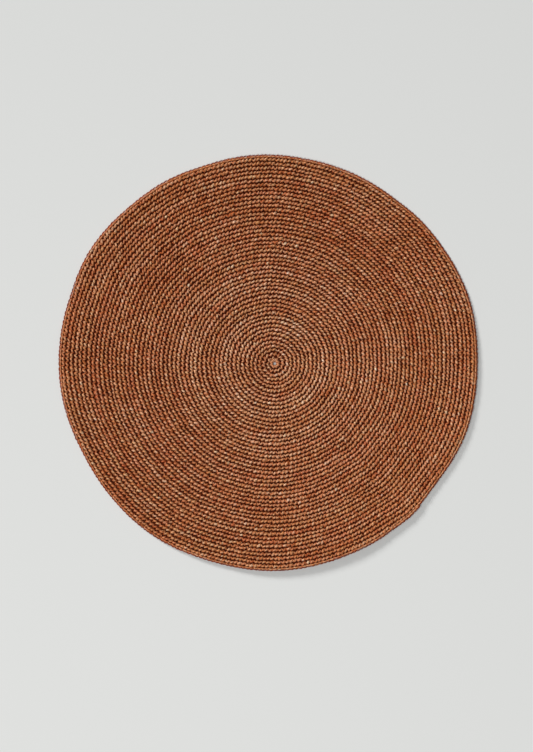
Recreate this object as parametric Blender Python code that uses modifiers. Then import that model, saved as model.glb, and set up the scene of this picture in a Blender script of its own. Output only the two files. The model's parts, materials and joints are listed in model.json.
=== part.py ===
"""Round raffia placemat, crocheted in a flat spiral from a small starting ring.

The mat is one piece. It is turned as a ribbed disc whose ribs are its rounds of stitches. The
disc's points are then moved to the mat's own uneven outline, with the starting ring off centre
and the edge lifting off the table in places. Metres, +Z up, underside on Z = 0.
"""

import math
from collections import namedtuple

import bpy
from mathutils import Matrix, Vector

MM = 0.001

# Driving sizes
OUTLINE_RADIUS = 190.0 * MM  # half of a 380 mm placemat
RING_HOLE_RADIUS = 1.4 * MM  # the open eye of the starting ring
ROUNDS = 50  # rounds of single crochet from the eye to the edge
THICKNESS = 3.6 * MM  # the cloth from the table to the crest of a round
GROOVE_DEPTH = 0.9 * MM  # how far the line between two rounds lies below their crests
EDGE_ROUNDING = 0.7 * MM  # how far the edge's top and bottom draw in from its widest point

# Where the starting ring lies, seen from the middle of the outline: it was worked off centre
RING_OFFSET = 5.75 * MM
RING_OFFSET_ANGLE = math.radians(-12.0)

# The edge, read anticlockwise round the starting ring from +X: how far it stands out from a true
# circle, and how high its underside stands off the table.
Edge = namedtuple("Edge", "angle_deg out_mm lift_mm")
EDGE = (
    Edge(0, 0.3, 1.8),
    Edge(18, 2.0, 0.8),
    Edge(40, 0.5, 0.3),
    Edge(57, -1.6, 0.4),
    Edge(75, -2.0, 0.9),
    Edge(95, -0.8, 1.0),
    Edge(110, -1.5, 0.5),
    Edge(125, -0.1, 0.2),
    Edge(148, 2.1, 0.4),
    Edge(163, 0.5, 0.8),
    Edge(182, 1.4, 0.9),
    Edge(210, -1.4, 0.3),
    Edge(236, -0.3, 0.8),
    Edge(252, -0.9, 2.4),
    Edge(272, 0.2, 4.0),
    Edge(290, -0.2, 4.2),
    Edge(309, 0.4, 2.6),  # the last round tapers off just past here
    Edge(321, -1.1, 1.8),
    Edge(340, 1.0, 2.0),
)
LIFT_STARTS = 0.70  # share of the way from ring to edge within which the mat lies flat

# How finely the turned form is cut
STEPS = 48
UNDERSIDE_SHARES = (1.0, 0.92, 0.84, 0.76, LIFT_STARTS, 0.3, 0.0)

SHARP_ANGLE = math.radians(50.0)

RAFFIA_COLOUR = (0.33, 0.13, 0.065, 1.0)
RAFFIA_ROUGHNESS = 0.62


def clear_scene():
    for obj in list(bpy.data.objects):
        bpy.data.objects.remove(obj, do_unlink=True)


def new_collection(name):
    collection = bpy.data.collections.new(name)
    bpy.context.scene.collection.children.link(collection)
    return collection


def raffia_material():
    material = bpy.data.materials.new("dyed_raffia")
    material.use_nodes = True
    shader = material.node_tree.nodes["Principled BSDF"]
    shader.inputs["Base Color"].default_value = RAFFIA_COLOUR
    shader.inputs["Roughness"].default_value = RAFFIA_ROUGHNESS
    shader.inputs["Metallic"].default_value = 0.0
    return material


def edge_value(angle, column):
    """A column of the edge table at this angle, eased from row to row all the way round."""
    degrees = math.degrees(angle) % 360.0
    for here, after in zip(EDGE, EDGE[1:] + EDGE[:1]):
        span = (after.angle_deg - here.angle_deg) % 360.0
        past = (degrees - here.angle_deg) % 360.0
        if past <= span:
            eased = 0.5 - 0.5 * math.cos(math.pi * past / span)
            low, high = getattr(here, column), getattr(after, column)
            return (low + (high - low) * eased) * MM
    raise ValueError("the edge table has no row")


def edge_radius(angle):
    """How far the edge is from the starting ring's middle, at this angle."""
    turn = angle - RING_OFFSET_ANGLE
    toward = -RING_OFFSET * math.cos(turn)
    across = RING_OFFSET * math.sin(turn)
    circle = toward + math.sqrt(OUTLINE_RADIUS**2 - across**2)
    return circle + edge_value(angle, "out_mm")


def section():
    """The mat's section from the eye outwards over the ribs, down the edge and back underneath."""
    pitch = (OUTLINE_RADIUS - RING_HOLE_RADIUS) / ROUNDS
    crest, groove = THICKNESS, THICKNESS - GROOVE_DEPTH
    points = []
    for rib in range(ROUNDS):
        inner = RING_HOLE_RADIUS + rib * pitch
        points.append((inner, groove))
        points.append((inner + pitch / 2, crest))
    points.append((OUTLINE_RADIUS - EDGE_ROUNDING, groove))
    points.append((OUTLINE_RADIUS, THICKNESS / 2))
    underside_width = OUTLINE_RADIUS - EDGE_ROUNDING - RING_HOLE_RADIUS
    for share in UNDERSIDE_SHARES:
        points.append((RING_HOLE_RADIUS + share * underside_width, 0.0))
    return points


def turned_disc(points):
    """The section turned round Z, as a mesh."""
    outline = bpy.data.meshes.new("section")
    closed = [(i, (i + 1) % len(points)) for i in range(len(points))]
    outline.from_pydata([(radius, 0.0, height) for radius, height in points], closed, [])
    guide = bpy.data.objects.new("section", outline)
    bpy.context.scene.collection.objects.link(guide)
    screw = guide.modifiers.new("turn", "SCREW")
    screw.axis = "Z"
    screw.angle = math.tau
    screw.steps = STEPS
    screw.render_steps = STEPS
    screw.use_merge_vertices = True
    screw.merge_threshold = 0.01 * MM
    graph = bpy.context.evaluated_depsgraph_get()
    disc = bpy.data.meshes.new_from_object(guide.evaluated_get(graph))
    bpy.data.objects.remove(guide, do_unlink=True)
    return disc


def lay_unevenly(mesh):
    """Moves the turned disc's points out to the uneven edge, and up where the edge lifts."""
    for vertex in mesh.vertices:
        radius = math.hypot(vertex.co.x, vertex.co.y)
        angle = math.atan2(vertex.co.y, vertex.co.x)
        share = (radius - RING_HOLE_RADIUS) / (OUTLINE_RADIUS - RING_HOLE_RADIUS)
        reach = RING_HOLE_RADIUS + share * (edge_radius(angle) - RING_HOLE_RADIUS)
        rise = max(0.0, (share - LIFT_STARTS) / (1.0 - LIFT_STARTS)) ** 2
        height = vertex.co.z + rise * edge_value(angle, "lift_mm")
        vertex.co = Vector((reach * math.cos(angle), reach * math.sin(angle), height))


def centre_on_outline(mesh):
    """Puts the origin under the middle of the outline's box."""
    xs = [vertex.co.x for vertex in mesh.vertices]
    ys = [vertex.co.y for vertex in mesh.vertices]
    middle = Vector(((min(xs) + max(xs)) / 2, (min(ys) + max(ys)) / 2, 0.0))
    mesh.transform(Matrix.Translation(-middle))


def crocheted_mat(collection):
    mesh = turned_disc(section())
    lay_unevenly(mesh)
    centre_on_outline(mesh)
    mesh.name = "crocheted_mat"
    mesh.materials.clear()
    mesh.materials.append(raffia_material())
    mesh.shade_smooth()
    mesh.set_sharp_from_angle(angle=SHARP_ANGLE)
    mat = bpy.data.objects.new("crocheted_mat", mesh)
    collection.objects.link(mat)
    return mat


def main():
    clear_scene()
    crocheted_mat(new_collection("raffia_placemat"))


main()
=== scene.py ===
"""Looks for a round raffia placemat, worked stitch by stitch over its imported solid.

The mat is single crochet in one spiral. Each stitch is placed on the stitch that it is worked
into, an extra stitch goes in wherever the round has grown too wide for the ones below, and one
raffia yarn then runs through all of them. The solid gives the mat's eye, edge and lift.
"""

import json
import math
from collections import namedtuple

import bpy
import numpy as np
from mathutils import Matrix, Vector

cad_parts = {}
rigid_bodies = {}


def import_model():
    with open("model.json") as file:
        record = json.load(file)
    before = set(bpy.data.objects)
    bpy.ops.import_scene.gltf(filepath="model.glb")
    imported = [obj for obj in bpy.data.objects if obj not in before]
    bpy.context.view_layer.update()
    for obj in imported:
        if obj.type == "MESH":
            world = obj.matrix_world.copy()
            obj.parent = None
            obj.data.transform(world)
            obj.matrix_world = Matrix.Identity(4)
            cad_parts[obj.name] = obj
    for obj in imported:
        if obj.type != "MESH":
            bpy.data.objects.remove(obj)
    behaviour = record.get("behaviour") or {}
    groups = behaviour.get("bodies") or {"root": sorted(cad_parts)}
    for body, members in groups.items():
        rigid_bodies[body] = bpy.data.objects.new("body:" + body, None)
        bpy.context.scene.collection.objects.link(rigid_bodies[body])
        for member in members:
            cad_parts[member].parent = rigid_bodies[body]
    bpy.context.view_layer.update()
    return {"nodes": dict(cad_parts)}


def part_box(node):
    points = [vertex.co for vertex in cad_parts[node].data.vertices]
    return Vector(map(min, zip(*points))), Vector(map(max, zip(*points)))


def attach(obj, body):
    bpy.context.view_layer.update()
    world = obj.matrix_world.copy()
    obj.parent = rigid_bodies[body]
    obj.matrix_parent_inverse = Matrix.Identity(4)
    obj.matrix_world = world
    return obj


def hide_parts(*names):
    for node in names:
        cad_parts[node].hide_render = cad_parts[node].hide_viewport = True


bl_info = {
    "name": "Raffia placemat",
    "version": (1, 0, 0),
    "blender": (4, 5, 0),
    "location": "3D View > Sidebar > Placemat",
    "description": "Crochets a round raffia placemat stitch by stitch and sets it on a pale table",
    "category": "Object",
}

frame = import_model()
MAT_NODE = "crocheted_mat"

MM = 0.001
SEED = 38

# The height of the photograph's frame, and what one of its pixels measures on the table
PHOTO_HEIGHT = 752
PIXEL = 0.911 * MM
MAT_RIGHT_OF_CENTRE = 1.4 * PIXEL
MAT_ABOVE_CENTRE = 13.0 * PIXEL

# How the stitches are laid out
STITCHES_PER_RING = 6.4  # each round holds this many more than the one before
RING_STITCHES = 8  # worked round the eye, before the spiral starts
RING_UNEVENNESS = 0.02
RING_ROUNDS = 0.92  # how many rounds out the starting ring goes
RING_WIDER = 0.13  # how much further it goes on the side where the spiral starts on it
SPIRAL_STARTS = 1.30  # turns: the first stitches on the starting ring are low ones
LOW_STITCH = 0.85  # how high those are at least, in rounds
SLANT = 0.18  # how far a stitch leans to the right of the one below, in stitch widths
TENSION = 5.0  # how strongly stitches keep even widths, against staying over the ones below
INCREASE_SHIFT = 0.25  # how far to each side two stitches worked into one stand, in its widths
INCREASE_WIDTH = 0.6  # and how wide each is at its base
END_ANGLE = math.radians(315.0)  # where the last round ends
TAPER = 0.9  # how much of a round's height the last stitches lose
TAPER_TURN = 0.033  # how far round the mat they reach, in turns
LIFT_STARTS = 0.70  # the solid lies flat within this share of the way to the edge
RIM_TURNS_DOWN = 0.18  # how much lower than the others the outermost round is
RIM_WIDTH = 0.02  # share of the way to the edge over which it turns down
UNIT = 3.9  # a stitch's width in millimetres, about that of a round
SEARCH_RADIUS = 12.0 * MM  # how much of the solid's middle is looked at for its eye

# The yarn's way through one stitch. "right" is in stitch widths from the slot's left side, seen
# with the edge of the mat upwards, "up" in rounds from the stitch below, "height" above the
# underside. The work goes to the left, so the next stitch starts one width further left.
Bend = namedtuple("Bend", "right up height_mm half_width_mm")
STITCH = (
    Bend(0.36, 0.11, 1.20, 0.75),
    Bend(0.40, 0.35, 2.00, 1.05),
    Bend(0.61, 0.49, 3.00, 1.28),
    Bend(0.87, 0.64, 2.90, 1.06),
    Bend(0.99, 0.86, 1.70, 0.78),
    Bend(0.55, 1.00, 1.05, 0.70),
    Bend(0.10, 0.86, 1.30, 0.75),
    Bend(0.04, 0.64, 2.10, 0.83),
    Bend(0.14, 0.47, 2.35, 0.92),
    Bend(0.30, 0.32, 1.90, 0.80),
    Bend(0.34, 0.11, 1.10, 0.70),
)
# One link of the chain that the last round's tops leave along the edge: a strand along the top
# and one below it
EDGE_LINK = (
    Bend(1.20, 0.04, 1.90, 0.55),
    Bend(0.90, 0.18, 2.50, 0.70),
    Bend(0.50, 0.22, 2.65, 0.75),
    Bend(0.10, 0.18, 2.20, 0.65),
    Bend(-0.10, 0.42, 1.30, 0.60),
    Bend(0.25, 0.56, 1.20, 0.60),
    Bend(0.60, 0.58, 1.20, 0.60),
    Bend(0.97, 0.52, 1.10, 0.60),
    Bend(0.60, 0.10, 0.75, 0.55),
)
# One of the stitches that close round the eye, so fat that they lie as one smooth ring
RING_STITCH = (
    Bend(0.45, 0.06, 1.30, 0.80),
    Bend(0.60, 0.20, 2.50, 1.10),
    Bend(0.70, 0.45, 3.05, 1.45),
    Bend(0.80, 0.68, 2.60, 1.40),
    Bend(0.88, 0.86, 1.40, 0.90),
    Bend(0.45, 0.90, 1.00, 0.80),
    Bend(0.12, 0.86, 1.40, 0.90),
    Bend(0.20, 0.68, 2.55, 1.40),
    Bend(0.30, 0.45, 3.00, 1.45),
    Bend(0.38, 0.20, 2.45, 1.10),
    Bend(0.42, 0.06, 1.30, 0.80),
    Bend(-0.05, 0.45, 0.80, 0.80),
)
YARN_SIDES = 5
YARN_SQUASH = 0.60  # the yarn's thickness as a share of its width: raffia lies flat
DEEP_MM = 1.1  # where the yarn lies this low it is tucked away under its neighbours and gets full painted shade
OPEN_MM = 2.6  # from this height up it lies open, with no painted shade
TUCKED_SHADE = 0.85  # painted shade: how much darker tucked parts are drawn than open yarn, as a deeper power of the colour
WANDER_STITCHES = 14  # over how many stitches a round's line wanders
BEND_STRAYS = 0.75  # how far one bend strays, as a share of how far a stitch does
STITCH_SWELLS = 1.6  # how much a stitch's yarn varies in width, in the same share
BEND_SWELLS = 0.03  # how much it varies from bend to bend
BEND_HEAVES = 0.04  # how much a bend's height varies
YARN_FITS = (0.55, 1.06)  # yarn thins with its stitch's width in rounds, kept between these
LOWEST_SQUEEZE = 0.4  # low stitches thin their yarn no further than one this many rounds high
BANDS = 5  # pieces that the rounds are split into, so that none is too heavy
EDGE_EASES = 11  # over how many stitches the edge's line is evened out
EDGE_SHADE = 0.10  # painted shade: how much darker the edge is drawn than the rounds
LOW_STRAND_SHADE = 0.5  # and more painted shade on its low strand, as a share of what tucked yarn gets

# The web where the yarns lock together, as rings and spokes of a net; its dark colour is painted
# shade seen through the gaps
WEB_RINGS = 40
WEB_SPOKES = 120
WEB_STARTS = 0.25  # rounds: the web stays clear of the eye

# Where the shades lie on the colour ramp, and how many of the strips have each
TONE_NAMES = ("bark", "rust", "terracotta", "tan", "olive")
TONE_PLACES = (0.0, 0.22, 0.42, 0.64, 0.84)
TONE_SHARES = (0.08, 0.27, 0.30, 0.20, 0.15)
TONE_MIDDLE = 0.44
TONE_SPREAD = 0.14  # how much of the way from the middle shade to its own a strip goes
TONE_STRAYS = 0.03  # how far a stitch strays from its strip's shade, and a bend from its stitch's
PALEST_TONE = 0.86  # dyed strips end here on the ramp: only husk flecks lie past it
HUSK_SHARE = 0.008
STRIP_STITCHES = (1.4, 6.0)  # shape and scale of the runs of stitches that a strip lasts
LOT_STITCHES = 90  # over how many stitches the dye drifts along the yarn
LOT_TONE = 0.02  # how far the shade drifts there, on the ramp
LOT_DEPTH = 0.05  # and how far the depth of the dye does
RUN_STITCHES = 6  # over how many stitches the depth changes faster
RUN_DEPTH = 0.08
BEND_DEPTH = 0.13  # how far it varies every other bend
PATCH_DEPTH = 0.022  # how far it varies in patches of the mat
PATCH_WAVES = 24
PATCH_LENGTHS = (25 * MM, 110 * MM)
# How much deeper than usual the yarn looks at these rounds, from the middle outwards
TREND_ROUNDS = (8, 22, 40, 50)
TREND_DEPTHS = (-0.10, -0.02, 0.06, 0.02)

# Marks in the raffia, each as its length along the yarn and its width across it
FIBRE = (6.0 * MM, 0.35 * MM)  # 0.1 mm wide in truth, drawn wider to show from a step away
FOLD = (1.8 * MM, 0.8 * MM)  # a strip is folded and creased every couple of millimetres

TABLE_WIDTH = 8.0  # metres
KEY_DIRECTION = math.radians(135.0)  # the lamp is at the photo's upper left


def linear(code):
    """An sRGB hex code as the linear colour that the shader takes."""
    shares = [int(code[i : i + 2], 16) / 255 for i in (0, 2, 4)]
    return tuple(s / 12.92 if s <= 0.04045 else ((s + 0.055) / 1.055) ** 2.4 for s in shares)


class PlacematSizes(bpy.types.PropertyGroup):
    """Sizes of the mat's yarn and rounds."""

    rounds: bpy.props.IntProperty(
        name="Rounds", description="Rounds from the eye to the edge", default=50, min=3
    )
    eye_radius: bpy.props.FloatProperty(
        name="Eye radius",
        description="Half the width of the starting ring's opening",
        default=1.4 * MM,
        subtype="DISTANCE",
        unit="LENGTH",
    )
    edge_yarn: bpy.props.FloatProperty(
        name="Edge yarn",
        description="How far the yarn of the edge reaches past the last round's tops",
        default=2.1 * MM,
        subtype="DISTANCE",
        unit="LENGTH",
    )
    unevenness: bpy.props.FloatProperty(
        name="Unevenness",
        description="How far a stitch strays from its place, as a share of a stitch",
        default=0.065,
        subtype="FACTOR",
        min=0.0,
        max=0.2,
    )
    web_height: bpy.props.FloatProperty(
        name="Web height",
        description="Height of the mat's inner web above its underside",
        default=1.2 * MM,
        subtype="DISTANCE",
        unit="LENGTH",
    )
    web_thickness: bpy.props.FloatProperty(
        name="Web thickness",
        description="Thickness of the inner web, where the yarns lock together",
        default=0.5 * MM,
        subtype="DISTANCE",
        unit="LENGTH",
    )


def dye(name, description, code):
    return bpy.props.FloatVectorProperty(
        name=name, description=description, default=linear(code), subtype="COLOR", min=0, max=1
    )


class RaffiaColours(bpy.types.PropertyGroup):
    """Shades that the dyed raffia strips took, from the deepest to the palest."""

    bark: dye("Bark", "Strips that took the dye deepest", "a06244")
    rust: dye("Rust", "Reddish strips", "cb7e5a")
    terracotta: dye("Terracotta", "The most common shade", "c8855b")
    tan: dye("Tan", "Yellower strips, which took less dye", "c68b5a")
    olive: dye("Olive", "Strips with the leaf's green-brown left in them", "b48762")
    husk: dye("Husk", "The few nearly undyed flecks", "dcb088")
    # Painted shade: the web is drawn this dark for the shade deep inside the stitches
    web: dye("Web", "The yarn deep inside the stitches", "46190c")


class StageSettings(bpy.types.PropertyGroup):
    """The table, the lamps and the camera."""

    table: dye("Table", "Colour of the table top", "e2e3e1")
    key_strength: bpy.props.FloatProperty(
        name="Key", description="Strength of the large lamp at the upper left", default=2.18
    )
    key_elevation: bpy.props.FloatProperty(
        name="Key elevation",
        description="Height of the lamp above the table, as an angle",
        default=math.radians(28.5),
        subtype="ANGLE",
    )
    key_size: bpy.props.FloatProperty(
        name="Key size",
        description="How wide the lamp looks from the table, as an angle",
        default=math.radians(16.0),
        subtype="ANGLE",
    )
    fill_strength: bpy.props.FloatProperty(
        name="Fill", description="Power of the broad lamp overhead", default=66.0
    )
    fill_place: bpy.props.FloatVectorProperty(
        name="Fill place",
        description="Where the overhead lamp is, from the middle of the mat",
        default=(-0.8, -0.8, 3.3),
        subtype="TRANSLATION",
        unit="LENGTH",
    )
    fill_size: bpy.props.FloatProperty(
        name="Fill size",
        description="How wide the overhead lamp is",
        default=2.2,
        subtype="DISTANCE",
        unit="LENGTH",
    )
    sky_strength: bpy.props.FloatProperty(
        name="Room light", description="Strength of the even light all round", default=0.13
    )
    camera_height: bpy.props.FloatProperty(
        name="Camera height",
        description="How far above the table the camera is",
        default=2.2,
        subtype="DISTANCE",
        unit="LENGTH",
    )


def add_node(tree, kind, links=None, **settings):
    """Adds a node, sets its properties and its input values, and links its inputs."""
    node = tree.nodes.new(kind)
    for name, value in settings.items():
        if name.startswith("in_"):
            node.inputs[name[3:].replace("_", " ")].default_value = value
        else:
            setattr(node, name, value)
    for name, source in (links or {}).items():
        tree.links.new(source, node.inputs[name])
    return node


def eased(share):
    """A share from 0 to 1, with a slow start and end."""
    return share * share * (3 - 2 * share)


def drifting(rng, count, run, spread):
    """A value for each of count stitches that drifts slowly, over runs of stitches."""
    knots = rng.normal(0, spread, count // run + 2)
    return np.interp(np.arange(count) / run, np.arange(len(knots)), knots)


def smoothed(values, run):
    """Each value as the mean of the run of values round it."""
    padded = np.pad(values, run // 2, mode="edge")
    return np.convolve(padded, np.full(run, 1 / run), mode="valid")


def patches(rng, points, spread):
    """A value for each point that drifts over the mat, in patches some rounds wide."""
    total = np.zeros(len(points))
    for length in rng.uniform(*PATCH_LENGTHS, PATCH_WAVES):
        turn, phase = rng.uniform(0, math.tau, 2)
        along = points[:, 0] * math.cos(turn) + points[:, 1] * math.sin(turn)
        total += np.cos(along / length * math.tau + phase)
    return total * spread * math.sqrt(2 / PATCH_WAVES)


def ring_reach(turns):
    """How many rounds out the starting ring goes: it is wider where the spiral starts on it."""
    return RING_ROUNDS + RING_WIDER * np.cos(math.tau * (turns - SPIRAL_STARTS))


class Wave:
    """A value round the mat, read smoothly between evenly spaced directions."""

    def __init__(self, values):
        self.terms = np.fft.rfft(values) / len(values)

    def __call__(self, angle):
        total = np.full(np.shape(angle), self.terms[0].real)
        for k, term in enumerate(self.terms[1:], start=1):
            total += 2 * (term.real * np.cos(k * angle) - term.imag * np.sin(k * angle))
        return total


class MatForm:
    """The solid's own sizes: its eye, how far its edge reaches and how high the edge lifts."""

    def __init__(self, node, eye_radius, rounds, edge_yarn):
        mesh = frame["nodes"][node].data
        points = np.empty(len(mesh.vertices) * 3, np.float32)
        mesh.vertices.foreach_get("co", points)
        points = points.reshape(-1, 3).astype(float)
        self.eye = self.find_eye(points)
        away = points[:, :2] - self.eye
        radius = np.hypot(away[:, 0], away[:, 1])
        angle = np.arctan2(away[:, 1], away[:, 0]) % math.tau
        steps = self.count_steps(angle[radius < radius.min() * 1.02])
        spoke = np.round(angle / math.tau * steps).astype(int) % steps
        reach = np.array([radius[spoke == s].max() for s in range(steps)])
        rim = radius > 0.985 * reach[spoke]
        lift = np.array([points[rim & (spoke == s), 2].min() for s in range(steps)])
        self.reach = Wave(reach - edge_yarn)
        self.lift = Wave(lift)
        self.eye_radius = eye_radius
        self.rounds = rounds

    @staticmethod
    def find_eye(points):
        """The middle of the innermost ring of points."""
        middle = np.zeros(2)
        for _ in range(12):
            near = np.hypot(*(points[:, :2] - middle).T) < SEARCH_RADIUS
            middle = points[near, :2].mean(axis=0)
        radius = np.hypot(*(points[:, :2] - middle).T)
        return points[radius < radius.min() + 0.5 * MM, :2].mean(axis=0)

    @staticmethod
    def count_steps(angles):
        gaps = np.diff(np.sort(angles))
        return int(round(math.tau / gaps[gaps > 1e-3].mean()))

    def rounds_to_edge(self, angle):
        """How many rounds deep the mat is in this direction, less where the last round tapers."""
        to_end = ((END_ANGLE - angle) / math.tau) % 1.0
        drop = np.clip(1.0 - to_end / TAPER_TURN, 0, 1)
        return self.rounds - to_end - eased(drop)

    def place(self, rounds, angle, height):
        """Points of the cloth: rounds out from the eye, angle round it, height off the underside."""
        full = self.reach(angle) - self.eye_radius
        share = rounds / self.rounds_to_edge(angle)
        radius = self.eye_radius + full * share
        height = height * (1.0 - RIM_TURNS_DOWN * np.exp(-np.abs(1.0 - share) / RIM_WIDTH))
        rise = np.clip((share - LIFT_STARTS) / (1.0 - LIFT_STARTS), 0, None) ** 2
        x = self.eye[0] + radius * np.cos(angle)
        y = self.eye[1] + radius * np.sin(angle)
        return np.stack([x, y, height + rise * self.lift(angle)], axis=-1)


class Stitches:
    """Where every stitch's top and base lie, in turns round the spiral.

    A top at 12.25 turns lies a quarter turn past the last round's end, on the 12th round.
    """

    def __init__(self, rounds, unevenness, rng):
        # Evenly spaced places along a spiral, of which the first turn is worked into the ring
        first = np.sqrt(1 + (np.arange(30) + 0.5) * 2 / STITCHES_PER_RING)
        tops = [top for top in first if SPIRAL_STARTS < top < SPIRAL_STARTS + 1]
        parents = [-1] * len(tops)
        shares = [0.0] * len(tops)
        next_parent = 0
        surplus = 0.0
        threshold = 0.5
        while tops[-1] < rounds:
            last = len(tops)
            width = self.widths(np.array(tops))
            chunk_parents, chunk_shares = [], []
            for parent in range(next_parent, last):
                usual = 1 / (STITCHES_PER_RING * (tops[parent] + 1))
                surplus += width[parent] / usual - 1
                if surplus > threshold:
                    chunk_parents += [parent, parent]
                    chunk_shares += [-INCREASE_SHIFT, INCREASE_SHIFT]
                    surplus -= 1
                    threshold = rng.uniform(0.1, 0.9)
                else:
                    chunk_parents.append(parent)
                    chunk_shares.append(0.0)
            chunk = self.settle(tops, width, chunk_parents, chunk_shares)
            tops += list(chunk)
            parents += chunk_parents
            shares += chunk_shares
            next_parent = last
        count = int(np.searchsorted(tops, rounds))
        self.count = count
        self.parent = np.array(parents[:count])
        self.top = np.array(tops[:count])
        self.top_width = self.widths(np.array(tops))[:count]
        share = np.array(shares[:count])
        worked_in_ring = self.parent < 0
        parent = np.where(worked_in_ring, 0, self.parent)
        stray = rng.normal(0, unevenness, (2, count))
        wander = drifting(rng, count, WANDER_STITCHES, unevenness)
        self.out = self.top + stray[0] + wander - self.taper(rounds)
        self.base = self.top[parent] + 1 + share * self.top_width[parent]
        self.base_width = self.top_width[parent] * np.where(share == 0, 1.0, INCREASE_WIDTH)
        self.inner = self.out[parent].copy()
        self.base[worked_in_ring] = self.top[worked_in_ring]
        self.base_width[worked_in_ring] = self.top_width[worked_in_ring]
        ring_top = ring_reach(self.top[worked_in_ring])
        self.inner[worked_in_ring] = np.minimum(ring_top, self.top[worked_in_ring] - LOW_STITCH)
        self.top = self.top + stray[1] * self.top_width

    @staticmethod
    def widths(tops):
        """The slot that each stitch has along its round, in turns."""
        middle = (tops[2:] - tops[:-2]) / 2
        return np.concatenate([[tops[1] - tops[0]], middle, [tops[-1] - tops[-2]]])

    @staticmethod
    def settle(tops, width, parents, shares):
        """Tops of the next stitches, between keeping even widths and staying over the last ones."""
        parents = np.array(parents)
        above = np.array(tops)[parents] + 1
        even = 1 / (STITCHES_PER_RING * above)
        target = above + np.array(shares) * 2 * even - SLANT * even
        count = len(parents)
        pull = np.eye(count)
        push = target.copy()
        for i in range(count):
            pull[i, i] += TENSION
            push[i] += TENSION * even[i]
            if i:
                pull[i, i - 1] -= TENSION
                pull[i - 1, i] -= TENSION
                pull[i - 1, i - 1] += TENSION
                push[i - 1] -= TENSION * even[i]
            else:
                push[i] += TENSION * tops[-1]
        return np.linalg.solve(pull, push)

    def taper(self, rounds):
        """How much lower than a full round the last stitches are."""
        left = (rounds - self.top) / TAPER_TURN
        return TAPER * eased(np.clip(1 - left, 0, 1))


def untwisted(path):
    """Normals along a path that repeats one unit to the left, turning as little as they can."""
    before = np.roll(path, 1, axis=0)
    after = np.roll(path, -1, axis=0)
    before[0, 0] += UNIT
    after[-1, 0] -= UNIT
    tangents = after - before
    tangents /= np.linalg.norm(tangents, axis=1)[:, None]
    normal = np.cross(tangents[0], (0.0, 0.0, 1.0))
    normal /= np.linalg.norm(normal)
    normals = [normal]
    for tangent in [*tangents[1:], tangents[0]]:
        normal = normal - normal.dot(tangent) * tangent
        normal /= np.linalg.norm(normal)
        normals.append(normal)
    side = np.cross(tangents[0], normals[0])
    twist = math.atan2(normals[-1].dot(side), normals[-1].dot(normals[0]))
    level = []
    for i, (tangent, normal) in enumerate(zip(tangents, normals)):
        turn = -twist * i / len(path)
        level.append(normal * math.cos(turn) + np.cross(tangent, normal) * math.sin(turn))
    return np.array(level)


class Row:
    """A row of stitches as the yarn's centres, normals and widths, bend after bend."""

    def __init__(self, form, bends, base, top, inner, out, unevenness, rng):
        """base and top are each the turn and the width in turns, inner and out are in rounds."""
        right, up, height, half_width = np.array(bends).T
        count = len(inner)
        self.bends = len(bends)
        kinks = rng.normal(0, BEND_STRAYS * unevenness, (2, count, len(bends)))
        lean = 0.5 - right + rng.normal(0, unevenness, (count, 1)) + kinks[0]
        rise = up + kinks[1]
        turns = (1 - rise) * (base[0][:, None] + lean * base[1][:, None])
        turns += rise * (top[0][:, None] + lean * top[1][:, None])
        rounds = (1 - rise) * inner[:, None] + rise * out[:, None]
        angle = END_ANGLE + math.tau * turns
        slot = math.tau * rounds * top[1][:, None]
        narrow = np.clip(slot, *YARN_FITS)
        swell = 1 + rng.normal(0, STITCH_SWELLS * unevenness, (count, 1))
        swell = swell + rng.normal(0, BEND_SWELLS, turns.shape)
        squeezed = np.sqrt(np.clip(out - inner, LOWEST_SQUEEZE, 1.0))[:, None]
        widths = half_width * swell * narrow * squeezed * MM
        heave = 1 + rng.normal(0, unevenness, (count, 1))
        heave = heave + rng.normal(0, BEND_HEAVES, turns.shape)
        heights = np.maximum(height * heave * MM, widths * YARN_SQUASH + 0.05 * MM)
        path = np.stack([right * UNIT, up * UNIT, height], axis=1)
        clockwise, outward, upward = (untwisted(path)[:, i, None] for i in range(3))
        sine, cosine, level = np.sin(angle), np.cos(angle), np.zeros_like(angle)
        normals = clockwise * np.stack([sine, -cosine, level], axis=-1)
        normals += outward * np.stack([cosine, sine, level], axis=-1)
        normals[..., 2] += upward[:, 0]
        self.centres = form.place(rounds, angle, heights).reshape(-1, 3)
        self.normals = normals.reshape(-1, 3)
        self.widths = widths.reshape(-1)
        # Painted shade: bends that lie low among their neighbours are drawn darker, for the shade
        # they lie in
        open_share = eased(np.clip((height - DEEP_MM) / (OPEN_MM - DEEP_MM), 0, 1))
        self.tucked_shade = np.tile(TUCKED_SHADE * (1 - open_share), count)
        self.rounds = np.repeat(out, self.bends)

    def part(self, start, end):
        """The row's points from one stitch to another, and the first point of the next."""
        chosen = slice(start * self.bends, end * self.bends + 1)
        return self.centres[chosen], self.normals[chosen], self.widths[chosen]


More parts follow.
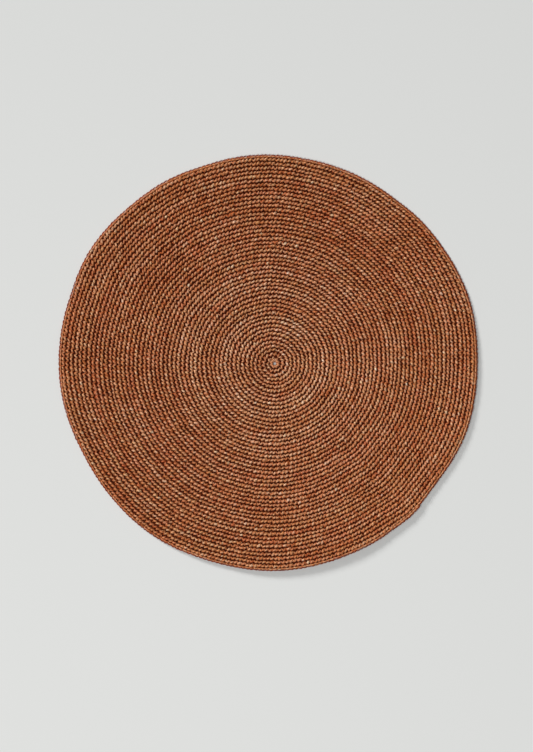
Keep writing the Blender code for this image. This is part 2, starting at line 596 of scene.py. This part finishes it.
def yarn_mesh(name, row, tones, depths, bends, columns):
    """A yarn as one closed tube, with a fibre map in metres and a sheet map in even cells."""
    centres, normals, half_width = row
    count = len(centres)
    tangents = np.gradient(centres, axis=0)
    tangents /= np.linalg.norm(tangents, axis=1)[:, None]
    normals = normals - (normals * tangents).sum(axis=1)[:, None] * tangents
    normals /= np.linalg.norm(normals, axis=1)[:, None]
    sides = np.cross(tangents, normals)
    turn = np.arange(YARN_SIDES) * math.tau / YARN_SIDES
    ring = normals[:, None] * np.cos(turn)[:, None] + sides[:, None] * np.sin(turn)[:, None]
    ring[..., 2] *= YARN_SQUASH
    points = (centres[:, None] + ring * half_width[:, None, None]).reshape(-1, 3)

    side = np.arange(YARN_SIDES)
    first = (np.arange(count - 1) * YARN_SIDES)[:, None] + side
    second = (np.arange(count - 1) * YARN_SIDES)[:, None] + (side + 1) % YARN_SIDES
    quads = np.stack([first, second, second + YARN_SIDES, first + YARN_SIDES], axis=-1)
    faces = quads.reshape(-1, 4).tolist()
    faces.append(list(range(YARN_SIDES))[::-1])
    faces.append(list(range((count - 1) * YARN_SIDES, count * YARN_SIDES)))
    mesh = bpy.data.meshes.new(name)
    mesh.from_pydata(points, [], faces)
    mesh.shade_smooth()

    steps = np.linalg.norm(np.diff(centres, axis=0), axis=1)
    length = np.concatenate([[0], np.cumsum(steps)])
    girth = math.tau * half_width.mean()
    index = np.arange(count - 1)
    stitch = index // bends
    rows = math.ceil(count / bends / columns)
    fibre = np.zeros((count - 1, YARN_SIDES, 4, 2))
    cell = np.zeros((count - 1, YARN_SIDES, 4, 2))
    for corner, (along, across) in enumerate(((0, 0), (0, 1), (1, 1), (1, 0))):
        around = (side + across) / YARN_SIDES
        fibre[:, :, corner, 0] = length[index + along][:, None]
        fibre[:, :, corner, 1] = around * girth
        place = (stitch % columns + (index % bends + along) / bends) / columns
        cell[:, :, corner, 0] = place[:, None]
        cell[:, :, corner, 1] = ((stitch // columns)[:, None] + 0.04 + 0.92 * around) / rows
    ends = np.zeros(2 * YARN_SIDES * 2)
    for map_name, values in (("fibre_lay", fibre), ("OFBake", cell)):
        layer = mesh.uv_layers.new(name=map_name)
        layer.uv.foreach_set("vector", np.concatenate([values.reshape(-1), ends]))
    for attribute, values in (("strip_tone", tones), ("dye_and_shade_depth", depths)):
        layer = mesh.attributes.new(attribute, "FLOAT", "POINT")
        layer.data.foreach_set("value", np.repeat(values, YARN_SIDES).astype(np.float32))
    return mesh


def in_runs(values, run=3):
    """The values with each one held for a run of bends."""
    return np.repeat(values[::run], run)[: len(values)]


def strip_tones(rng, stitches, bends):
    """Which shade the yarn has at each bend: a strip's own for some stitches, with odd flecks."""
    tones = np.empty(stitches)
    start = 0
    while start < stitches:
        end = start + 1 + int(rng.gamma(*STRIP_STITCHES))
        tones[start:end] = rng.choice(TONE_PLACES, p=TONE_SHARES)
        start = end
    tones = TONE_MIDDLE + TONE_SPREAD * (tones - TONE_MIDDLE)
    tones += rng.normal(0, TONE_STRAYS, stitches)
    tones += drifting(rng, stitches, LOT_STITCHES, LOT_TONE)
    tones = np.repeat(tones, bends) + in_runs(rng.normal(0, TONE_STRAYS, stitches * bends))
    tones = np.clip(tones, 0.0, PALEST_TONE)
    tones[in_runs(rng.random(len(tones)), 2) < HUSK_SHARE] = 1.0
    return tones


def dye_and_shade_depths(rng, row):
    """How deeply each bend is dyed, as a power of its shade's colour: 1 is the usual. Tucked bends
    get painted shade on top, as a deeper power.
    """
    bends = len(row.widths)
    stitches = bends // row.bends
    slow = drifting(rng, stitches, RUN_STITCHES, RUN_DEPTH)
    slow += drifting(rng, stitches, LOT_STITCHES, LOT_DEPTH)
    depths = np.repeat(1.0 + slow, row.bends) + patches(rng, row.centres, PATCH_DEPTH)
    depths += in_runs(rng.normal(0, BEND_DEPTH, bends), 2)
    depths += np.interp(row.rounds, TREND_ROUNDS, TREND_DEPTHS)
    return depths + row.tucked_shade


def raffia_material(name, colours):
    """Dyed raffia: palm leaf split into dry strips and lightly twisted.

    It is matt with a dull gleam along the fibre, streaked lengthwise, and each strip took the dye
    differently.
    """
    material = bpy.data.materials.new(name)
    material.use_nodes = True
    tree = material.node_tree
    shader = tree.nodes["Principled BSDF"]
    tone = add_node(tree, "ShaderNodeAttribute", attribute_name="strip_tone")
    ramp = add_node(tree, "ShaderNodeValToRGB", links={"Fac": tone.outputs["Fac"]})
    stops = ramp.color_ramp.elements
    stops[0].color = (*colours.bark, 1.0)
    stops[-1].color = (*colours.husk, 1.0)
    for shade, place in list(zip(TONE_NAMES, TONE_PLACES))[1:]:
        stops.new(place).color = (*getattr(colours, shade), 1.0)

    lay = add_node(tree, "ShaderNodeUVMap", uv_map="fibre_lay")
    stretch = add_node(
        tree,
        "ShaderNodeMapping",
        links={"Vector": lay.outputs["UV"]},
        in_Scale=(1 / FIBRE[0], 1 / FIBRE[1], 1.0),
    )
    fibre = add_node(
        tree,
        "ShaderNodeTexNoise",
        links={"Vector": stretch.outputs["Vector"]},
        in_Scale=1.0,
        in_Detail=2.0,
        in_Roughness=0.6,
    )
    spread = add_node(
        tree,
        "ShaderNodeMapping",
        links={"Vector": lay.outputs["UV"]},
        in_Scale=(1 / FOLD[0], 1 / FOLD[1], 1.0),
    )
    fold = add_node(
        tree,
        "ShaderNodeTexNoise",
        links={"Vector": spread.outputs["Vector"]},
        in_Scale=1.0,
        in_Detail=1.0,
        in_Roughness=0.5,
    )
    depth = add_node(
        tree,
        "ShaderNodeMapRange",
        links={"Value": fibre.outputs["Fac"]},
        in_From_Min=0.3,
        in_From_Max=0.7,
        in_To_Min=1.5,
        in_To_Max=0.5,
    )
    # Painted light and shade: the colour is drawn lighter and darker along the strips' folds and
    # creases
    shade = add_node(
        tree,
        "ShaderNodeMapRange",
        links={"Value": fold.outputs["Fac"]},
        in_From_Min=0.3,
        in_From_Max=0.7,
        in_To_Min=0.56,
        in_To_Max=1.52,
    )
    # Dye depth and painted shade act as a power of the colour, as light does that bounces about
    # between the strips: the deeper, the darker and the redder. The tucked bends' part of it is
    # painted shade.
    dye_and_shade_depth = add_node(tree, "ShaderNodeAttribute", attribute_name="dye_and_shade_depth")
    power = add_node(tree, "ShaderNodeMath", operation="MULTIPLY")
    tree.links.new(dye_and_shade_depth.outputs["Fac"], power.inputs[0])
    tree.links.new(depth.outputs["Result"], power.inputs[1])
    streaked = add_node(
        tree,
        "ShaderNodeGamma",
        links={"Color": ramp.outputs["Color"], "Gamma": power.outputs["Value"]},
    )
    fold_shaded_colour = add_node(
        tree,
        "ShaderNodeVectorMath",
        operation="SCALE",
        links={"Vector": streaked.outputs["Color"], "Scale": shade.outputs["Result"]},
    )
    gleam = add_node(
        tree,
        "ShaderNodeMapRange",
        links={"Value": fibre.outputs["Fac"]},
        in_To_Min=0.62,
        in_To_Max=0.42,
    )
    creases = add_node(
        tree,
        "ShaderNodeBump",
        links={"Height": fold.outputs["Fac"]},
        in_Strength=0.8,
        in_Distance=0.6 * MM,
    )
    relief = add_node(
        tree,
        "ShaderNodeBump",
        links={"Height": fibre.outputs["Fac"], "Normal": creases.outputs["Normal"]},
        in_Strength=0.5,
        in_Distance=0.12 * MM,
    )
    tree.links.new(fold_shaded_colour.outputs["Vector"], shader.inputs["Base Color"])
    tree.links.new(gleam.outputs["Result"], shader.inputs["Roughness"])
    tree.links.new(relief.outputs["Normal"], shader.inputs["Normal"])
    shader.inputs["IOR"].default_value = 1.45
    shader.inputs["Specular IOR Level"].default_value = 0.14
    return material


def web_material(colours):
    """Raffia deep in the work, where the locked yarns lie in each other's shade."""
    material = bpy.data.materials.new("locked_raffia_web")
    material.use_nodes = True
    tree = material.node_tree
    shader = tree.nodes["Principled BSDF"]
    place = add_node(tree, "ShaderNodeTexCoord")
    grain = add_node(
        tree,
        "ShaderNodeTexNoise",
        links={"Vector": place.outputs["Object"]},
        in_Scale=1 / (2.0 * MM),
        in_Detail=3.0,
    )
    shade = add_node(
        tree,
        "ShaderNodeMapRange",
        links={"Value": grain.outputs["Fac"]},
        in_From_Min=0.3,
        in_From_Max=0.7,
        in_To_Min=0.6,
        in_To_Max=1.3,
    )
    mottled = add_node(
        tree,
        "ShaderNodeVectorMath",
        operation="SCALE",
        links={"Scale": shade.outputs["Result"]},
        in_Vector=colours.web,
    )
    relief = add_node(
        tree,
        "ShaderNodeBump",
        links={"Height": grain.outputs["Fac"]},
        in_Strength=0.8,
        in_Distance=0.4 * MM,
    )
    tree.links.new(mottled.outputs["Vector"], shader.inputs["Base Color"])
    tree.links.new(relief.outputs["Normal"], shader.inputs["Normal"])
    shader.inputs["Roughness"].default_value = 0.9
    shader.inputs["Specular IOR Level"].default_value = 0.03
    return material


def table_material(colour):
    """Matt white-grey laminate: it throws back a flat, even tone."""
    material = bpy.data.materials.new("matt_laminate_table")
    material.use_nodes = True
    shader = material.node_tree.nodes["Principled BSDF"]
    shader.inputs["Base Color"].default_value = (*colour, 1.0)
    shader.inputs["Roughness"].default_value = 0.9
    shader.inputs["Specular IOR Level"].default_value = 0.1
    return material


def mat_form(sizes):
    return MatForm(MAT_NODE, sizes.eye_radius, sizes.rounds, sizes.edge_yarn)


def planned_stitches(sizes):
    return Stitches(sizes.rounds, sizes.unevenness, np.random.default_rng(SEED))


def add_piece(context, name, mesh, material):
    """Adds a piece of the mat, which rides with the solid and stands for it."""
    mesh.materials.append(material)
    piece = bpy.data.objects.new(name, mesh)
    context.scene.collection.objects.link(piece)
    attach(piece, "root")
    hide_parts(MAT_NODE)
    return piece


class PLACEMAT_OT_work_rounds(bpy.types.Operator):
    """Runs the yarn through every stitch, in bands of rounds"""

    bl_idname = "placemat.work_rounds"
    bl_label = "Work the rounds"

    def execute(self, context):
        sizes = context.scene.placemat_sizes
        stitches = planned_stitches(sizes)
        rng = np.random.default_rng(SEED + 1)
        row = Row(
            mat_form(sizes),
            STITCH,
            (stitches.base, stitches.base_width),
            (stitches.top, stitches.top_width),
            stitches.inner,
            stitches.out,
            sizes.unevenness,
            rng,
        )
        bends = len(STITCH)
        tones = strip_tones(rng, stitches.count, bends)
        depths = dye_and_shade_depths(rng, row)
        material = raffia_material("dyed_raffia_yarn", context.scene.raffia_colours)
        edges = np.linspace(0, stitches.count, BANDS + 1).astype(int)
        for band, (start, end) in enumerate(zip(edges[:-1], edges[1:]), start=1):
            name = f"rounds_{band}"
            yarn = row.part(start, end)
            chosen = slice(start * bends, start * bends + len(yarn[0]))
            mesh = yarn_mesh(name, yarn, tones[chosen], depths[chosen], bends, 20)
            add_piece(context, name, mesh, material)
        return {"FINISHED"}


class PLACEMAT_OT_work_edge(bpy.types.Operator):
    """Lays the chain that the last round's tops leave along the edge"""

    bl_idname = "placemat.work_edge"
    bl_label = "Work the edge"

    def execute(self, context):
        sizes = context.scene.placemat_sizes
        stitches = planned_stitches(sizes)
        rng = np.random.default_rng(SEED + 2)
        last = stitches.top > sizes.rounds - 1
        place = (stitches.top[last], stitches.top_width[last])
        out = smoothed(stitches.out[last], EDGE_EASES)
        uneven = sizes.unevenness / 2
        row = Row(mat_form(sizes), EDGE_LINK, place, place, out, out + 1, uneven, rng)
        count = len(out)
        tones = strip_tones(rng, count, row.bends)
        # Painted shade along the edge, darker again on the low strand under the chain
        depths = dye_and_shade_depths(rng, row) + EDGE_SHADE + LOW_STRAND_SHADE * row.tucked_shade
        mesh = yarn_mesh("edge_chain", row.part(0, count), tones, depths, row.bends, 8)
        material = raffia_material("dyed_raffia_edge", context.scene.raffia_colours)
        add_piece(context, "edge_chain", mesh, material)
        return {"FINISHED"}


class PLACEMAT_OT_work_ring(bpy.types.Operator):
    """Lays the starting ring round the eye"""

    bl_idname = "placemat.work_ring"
    bl_label = "Work the starting ring"

    def execute(self, context):
        sizes = context.scene.placemat_sizes
        rng = np.random.default_rng(SEED + 3)
        count = RING_STITCHES
        turns = np.arange(count + 1) / count
        place = (turns, np.full(count + 1, 1 / count))
        inner = np.zeros(count + 1)
        form = mat_form(sizes)
        reach = ring_reach(turns)
        row = Row(form, RING_STITCH, place, place, inner, reach, RING_UNEVENNESS, rng)
        tones = np.full(len(row.widths), TONE_PLACES[2])
        # Painted shade on the ring's tucked bends, half as dark as in the rounds
        depths = 1.0 + 0.5 * row.tucked_shade
        mesh = yarn_mesh("starting_ring", row.part(0, count + 1), tones, depths, row.bends, 4)
        material = raffia_material("dyed_raffia_ring", context.scene.raffia_colours)
        add_piece(context, "starting_ring", mesh, material)
        return {"FINISHED"}


class PLACEMAT_OT_lay_web(bpy.types.Operator):
    bl_idname = "placemat.lay_web"
    bl_label = "Lay the inner web"

    def execute(self, context):
        sizes = context.scene.placemat_sizes
        form = mat_form(sizes)
        turn = np.arange(WEB_SPOKES) * math.tau / WEB_SPOKES
        faces = []
        points = []
        for ring in range(WEB_RINGS + 1):
            share = ring / WEB_RINGS
            rounds = WEB_STARTS + (form.rounds_to_edge(turn) - WEB_STARTS) * share
            points.append(form.place(rounds, turn, np.full(WEB_SPOKES, sizes.web_height)))
        for ring in range(WEB_RINGS):
            for spoke in range(WEB_SPOKES):
                here = ring * WEB_SPOKES + spoke
                beside = ring * WEB_SPOKES + (spoke + 1) % WEB_SPOKES
                faces.append((here, here + WEB_SPOKES, beside + WEB_SPOKES, beside))
        mesh = bpy.data.meshes.new("inner_web")
        mesh.from_pydata(np.concatenate(points), [], faces)
        mesh.shade_smooth()
        web = add_piece(context, "inner_web", mesh, web_material(context.scene.raffia_colours))
        solidify = web.modifiers.new("thickness", "SOLIDIFY")
        solidify.thickness = sizes.web_thickness
        solidify.offset = 1.0
        return {"FINISHED"}


class PLACEMAT_OT_set_stage(bpy.types.Operator):
    """Sets the table, the lamps and the camera"""

    bl_idname = "placemat.set_stage"
    bl_label = "Set the stage"

    def execute(self, context):
        stage = context.scene.placemat_stage
        scene = context.scene
        bpy.ops.mesh.primitive_plane_add(size=TABLE_WIDTH, location=(0.0, 0.0, 0.0))
        table = context.active_object
        table.name = "table_top"
        table.data.materials.append(table_material(stage.table))

        low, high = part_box(MAT_NODE)
        middle = (low + high) / 2
        level = math.cos(stage.key_elevation)
        across = math.cos(KEY_DIRECTION) * level
        back = math.sin(KEY_DIRECTION) * level
        toward = Vector((across, back, math.sin(stage.key_elevation)))
        key = bpy.data.lights.new("key_lamp", "SUN")
        key.energy = stage.key_strength
        key.angle = stage.key_size
        fill = bpy.data.lights.new("fill_lamp", "AREA")
        fill.energy = stage.fill_strength
        fill.shape = "DISK"
        fill.size = stage.fill_size
        for light, aim in ((key, toward), (fill, Vector(stage.fill_place))):
            lamp = bpy.data.objects.new(light.name, light)
            lamp.location = middle + aim
            lamp.rotation_euler = (-aim).to_track_quat("-Z", "Y").to_euler()
            scene.collection.objects.link(lamp)

        world = bpy.data.worlds.new("even_room_light")
        world.use_nodes = True
        background = world.node_tree.nodes["Background"]
        background.inputs["Color"].default_value = (1.0, 1.0, 1.0, 1.0)
        background.inputs["Strength"].default_value = stage.sky_strength
        scene.world = world
        scene.view_settings.view_transform = "Standard"

        lens = bpy.data.cameras.new("overhead_camera")
        lens.sensor_fit = "VERTICAL"
        lens.sensor_height = 24.0
        lens.lens = lens.sensor_height * (stage.camera_height - high.z) / (PHOTO_HEIGHT * PIXEL)
        lens.clip_end = 50.0
        camera = bpy.data.objects.new("overhead_camera", lens)
        camera.location = (
            middle.x - MAT_RIGHT_OF_CENTRE,
            middle.y - MAT_ABOVE_CENTRE,
            stage.camera_height,
        )
        scene.collection.objects.link(camera)
        scene.camera = camera
        return {"FINISHED"}


class PLACEMAT_PT_panel(bpy.types.Panel):
    """Lists the mat's settings and the steps that make it"""

    bl_idname = "PLACEMAT_PT_panel"
    bl_label = "Raffia placemat"
    bl_space_type = "VIEW_3D"
    bl_region_type = "UI"
    bl_category = "Placemat"

    def draw(self, context):
        scene = context.scene
        groups = (scene.placemat_sizes, scene.raffia_colours, scene.placemat_stage)
        for group in groups:
            box = self.layout.box()
            for name in group.__annotations__:
                box.prop(group, name)
        for step in STEPS:
            self.layout.operator(step.bl_idname)


STEPS = (
    PLACEMAT_OT_work_rounds,
    PLACEMAT_OT_work_edge,
    PLACEMAT_OT_work_ring,
    PLACEMAT_OT_lay_web,
    PLACEMAT_OT_set_stage,
)
GROUPS = (PlacematSizes, RaffiaColours, StageSettings)
CLASSES = (*GROUPS, *STEPS, PLACEMAT_PT_panel)


def register():
    for cls in CLASSES:
        bpy.utils.register_class(cls)
    bpy.types.Scene.placemat_sizes = bpy.props.PointerProperty(type=PlacematSizes)
    bpy.types.Scene.raffia_colours = bpy.props.PointerProperty(type=RaffiaColours)
    bpy.types.Scene.placemat_stage = bpy.props.PointerProperty(type=StageSettings)


def unregister():
    del bpy.types.Scene.placemat_stage
    del bpy.types.Scene.raffia_colours
    del bpy.types.Scene.placemat_sizes
    for cls in reversed(CLASSES):
        bpy.utils.unregister_class(cls)


def main():
    register()
    bpy.ops.placemat.work_rounds()
    bpy.ops.placemat.work_edge()
    bpy.ops.placemat.work_ring()
    bpy.ops.placemat.lay_web()
    bpy.ops.placemat.set_stage()


if __name__ == "__main__":
    main()
